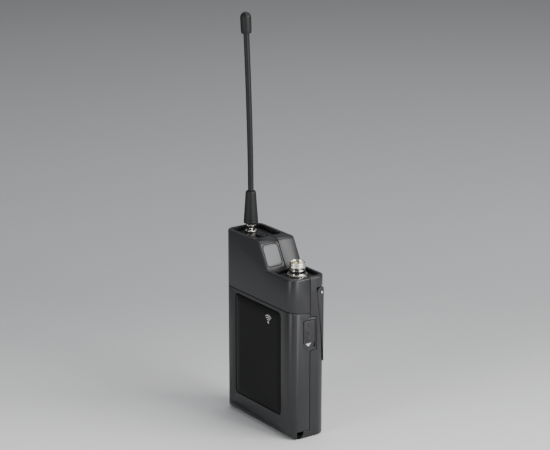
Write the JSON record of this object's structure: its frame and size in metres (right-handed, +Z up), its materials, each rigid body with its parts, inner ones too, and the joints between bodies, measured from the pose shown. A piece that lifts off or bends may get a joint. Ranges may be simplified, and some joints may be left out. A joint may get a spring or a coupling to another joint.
{
  "type": "wireless bodypack transmitter",
  "caption": "Pocket-size radio transmitter case with whip antenna, round input socket on a lower step, hinged battery door, side latches and sprung belt clip.",
  "frame": {"origin": "middle of the case's base, under the centre of its plan", "axes": "+Z up the case towards the antenna, +X to the right seen from the front, +Y towards the belt clip at the back"},
  "size_m": [0.0658, 0.0234, 0.2292],
  "materials": {
    "shell": "fine satin black moulded plastic",
    "gloss_panel": "polished black plastic",
    "grey_trim": "satin grey plastic",
    "deck": "matt black plastic",
    "latch": "matt black plastic",
    "soft_rubber": "soft matt black rubber",
    "nickel": "bright nickel plate",
    "steel": "plain steel",
    "gold_contact": "gold-plated contact",
    "board": "green solder mask",
    "cell_jacket": "plain blue sleeve",
    "trim_body": "blue moulded plastic",
    "ivory": "ivory moulded plastic",
    "lens": "dark clear plastic"
  },
  "bodies": {
    "case": {"antenna_socket": "nickel", "battery_left": "cell_jacket", "battery_right": "cell_jacket", "battery_tray": "deck", "button_switch": "steel", "case_screw_1": "steel", "case_screw_2": "steel", "case_screw_3": "steel", "case_screw_4": "steel", "channel_switch": "deck", "charge_contact_left": "gold_contact", "charge_contact_right": "gold_contact", "clip_pin": "steel", "clip_spring": "steel", "connector_deck": "deck", "connector_insulator": "deck", "connector_nut": "nickel", "connector_pin_1": "gold_contact", "connector_pin_2": "gold_contact", "connector_pin_3": "gold_contact", "connector_pin_4": "gold_contact", "connector_shell": "nickel", "contact_bottom": "nickel", "contact_top_left": "nickel", "contact_top_right": "nickel", "driver_blade": "steel", "driver_handle": "grey_trim", "front_shell": "shell", "hinge_pin_left": "steel", "hinge_pin_right": "steel", "led_emitter": "ivory", "led_lens": "lens", "line_trim_body": "trim_body", "main_board": "board", "mic_trim_body": "trim_body", "ramp_panel": "grey_trim", "rear_shell": "shell", "rf_shield": "steel", "spring_left": "steel", "spring_right": "steel", "switch_board": "board", "top_deck": "deck"},
    "door": {"battery_door": "shell", "door_panel": "gloss_panel"},
    "latch_slide_left": {"latch_left": "latch"},
    "latch_slide_right": {"latch_right": "latch"},
    "clip": {"belt_clip": "shell"},
    "button": {"power_button": "soft_rubber"},
    "dial": {"channel_dial": "ivory"},
    "mic_trim": {"mic_trim_dial": "ivory"},
    "line_trim": {"line_trim_dial": "ivory"},
    "antenna_lift": {"antenna_seal": "soft_rubber"},
    "antenna": {"antenna_ferrule": "nickel", "antenna_boot": "soft_rubber", "antenna_whip": "soft_rubber", "antenna_cap": "soft_rubber"}
  },
  "joints": [
    {"name": "door_hinge", "type": "hinge", "parent": "case", "child": "door", "pos_m": [0, -0.00775, 0.0042], "axis": [1, 0, 0], "range_deg": [0, 90]},
    {"name": "latch_slide_left_joint", "type": "slide", "parent": "door", "child": "latch_slide_left", "axis": [0, 0, -1], "range_m": [0, 0.0027]},
    {"name": "latch_slide_right_joint", "type": "slide", "parent": "door", "child": "latch_slide_right", "axis": [0, 0, -1], "range_m": [0, 0.0027]},
    {"name": "clip_hinge", "type": "hinge", "parent": "case", "child": "clip", "pos_m": [0, 0.0087, 0.0828], "axis": [1, 0, 0], "range_deg": [0, 18], "stiffness_Nm_per_rad": 0.5, "springref_deg": -8.02},
    {"name": "button_press", "type": "slide", "parent": "case", "child": "button", "axis": [0, 0, -1], "range_m": [0, 0.0008], "stiffness_N_per_m": 1500, "springref_m": -0.0004},
    {"name": "channel_turn", "type": "hinge", "parent": "case", "child": "dial", "pos_m": [0.011, -0.004, 0.05], "axis": [0, -1, 0], "continuous": true},
    {"name": "mic_trim_turn", "type": "hinge", "parent": "case", "child": "mic_trim", "pos_m": [0.023, -0.004, 0.054], "axis": [0, -1, 0], "range_deg": [-135, 135]},
    {"name": "line_trim_turn", "type": "hinge", "parent": "case", "child": "line_trim", "pos_m": [0.023, -0.004, 0.042], "axis": [0, -1, 0], "range_deg": [-135, 135]},
    {"name": "antenna_rise", "type": "slide", "parent": "case", "child": "antenna_lift", "axis": [0, 0, 1], "range_m": [0, 0.003]},
    {"name": "antenna_turn", "type": "hinge", "parent": "antenna_lift", "child": "antenna", "pos_m": [-0.025, 0.001, 0.1059], "axis": [0, 0, 1], "range_deg": [0, 1080]}
  ],
  "couplings": [
    {"joint": "antenna_turn", "follows": "antenna_rise", "rad_per_m": 6283.2}
  ]
}
